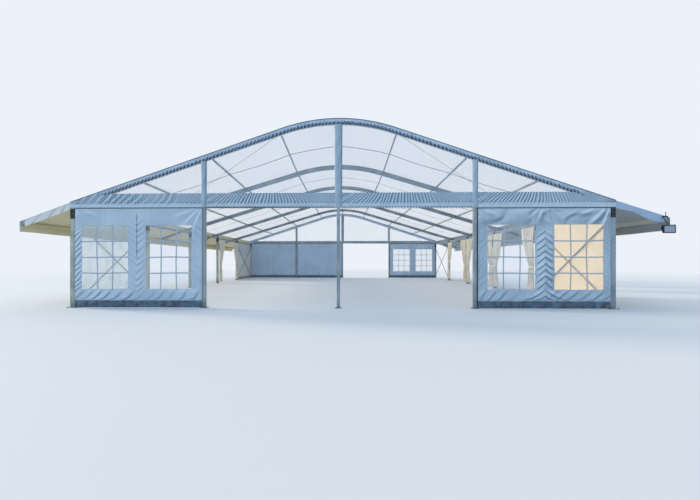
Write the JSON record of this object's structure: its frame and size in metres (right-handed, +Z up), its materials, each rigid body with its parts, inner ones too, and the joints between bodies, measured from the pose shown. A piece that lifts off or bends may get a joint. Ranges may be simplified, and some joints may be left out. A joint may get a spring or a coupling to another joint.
{
  "type": "clear-roofed marquee tent",
  "caption": "Frame marquee with an arched crown, clear roof and gables, panelled window walls, awnings along both sides and tied side curtains.",
  "frame": {"origin": "on the ground at the middle of the plan", "axes": "+X to the right across the span seen from the front, +Y from the front gable to the rear gable, +Z up"},
  "size_m": [23.9772, 25.44, 6.9937],
  "materials": {
    "aluminium": "mill finish, weathered",
    "steel": "dark galvanised and painted",
    "clear_pvc": "clear flexible PVC, slightly rippled",
    "white_pvc": "white coated PVC cloth, satin",
    "awning_pvc": "opaque coated PVC cloth, satin",
    "cream_cloth": "soft woven cloth, matt",
    "lamp_housing": "matt dark housing with a glass front"
  },
  "bodies": {
    "marquee": {"rafter_1": "aluminium", "leg_left_1": "aluminium", "leg_right_1": "aluminium", "rafter_2": "aluminium", "leg_left_2": "aluminium", "leg_right_2": "aluminium", "rafter_3": "aluminium", "leg_left_3": "aluminium", "leg_right_3": "aluminium", "rafter_4": "aluminium", "leg_left_4": "aluminium", "leg_right_4": "aluminium", "rafter_5": "aluminium", "leg_left_5": "aluminium", "leg_right_5": "aluminium", "rafter_6": "aluminium", "leg_left_6": "aluminium", "leg_right_6": "aluminium", "ridge_purlin": "aluminium", "purlin_left_1": "aluminium", "purlin_left_2": "aluminium", "purlin_left_3": "aluminium", "eave_purlin_left": "aluminium", "awning_rail_left": "aluminium", "awning_canopy_left": "awning_pvc", "awning_valance_left": "awning_pvc", "side_brace_left_1": "steel", "side_brace_left_5": "steel", "side_curtains_left": "cream_cloth", "purlin_right_1": "aluminium", "purlin_right_2": "aluminium", "purlin_right_3": "aluminium", "eave_purlin_right": "aluminium", "awning_rail_right": "aluminium", "awning_canopy_right": "awning_pvc", "awning_valance_right": "awning_pvc", "side_brace_right_1": "steel", "side_brace_right_5": "steel", "side_curtains_right": "cream_cloth", "roof_cover_1": "clear_pvc", "roof_cover_2": "clear_pvc", "roof_cover_3": "clear_pvc", "roof_cover_4": "clear_pvc", "roof_cover_5": "clear_pvc", "front_gable_frame": "aluminium", "front_gable_sheet": "clear_pvc", "rear_gable_frame": "aluminium", "rear_gable_sheet": "clear_pvc", "front_wall_left": "white_pvc", "front_wall_right": "white_pvc", "rear_wall_right": "white_pvc", "rear_wall_left_outer": "white_pvc", "rear_wall_left_inner": "white_pvc", "side_wall_right_1": "white_pvc", "side_wall_left_5": "white_pvc", "front_glazing_left": "clear_pvc", "front_glazing_right": "clear_pvc", "rear_glazing_right": "clear_pvc", "floodlight_yoke": "steel"},
    "floodlight": {"floodlight_head": "lamp_housing"}
  },
  "joints": [
    {"name": "floodlight_tilt", "type": "hinge", "parent": "marquee", "child": "floodlight", "pos_m": [11.75, -12.75, 2.8741], "axis": [1, 0, 0], "range_deg": [-40, 70]}
  ]
}
